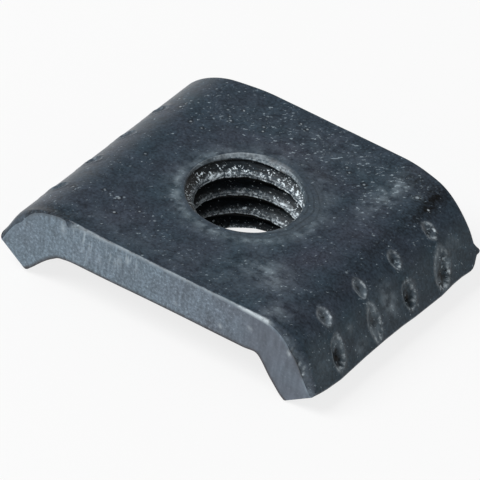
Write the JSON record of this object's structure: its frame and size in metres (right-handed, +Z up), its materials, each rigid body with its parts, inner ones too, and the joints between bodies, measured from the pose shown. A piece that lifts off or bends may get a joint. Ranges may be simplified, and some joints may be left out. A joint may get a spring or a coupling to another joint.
{
  "type": "clamp nut",
  "caption": "Black steel clamp nut: a thick strip folded down at its ends into stubby wings, with a drawn collar that carries the thread and punched grip marks on the wings.",
  "frame": {"origin": "on the axis of the thread, level with the lowest edges of the wings", "axes": "+Z up along the thread, out of its wide mouth; +X across the folds, wing to wing; +Y along the folds, towards the edge that draws in at the wings"},
  "size_m": [0.017, 0.014, 0.0038],
  "materials": {
    "blackened_steel": "satin"
  },
  "bodies": {
    "root": {"clamp_nut": "blackened_steel"}
  },
  "joints": []
}
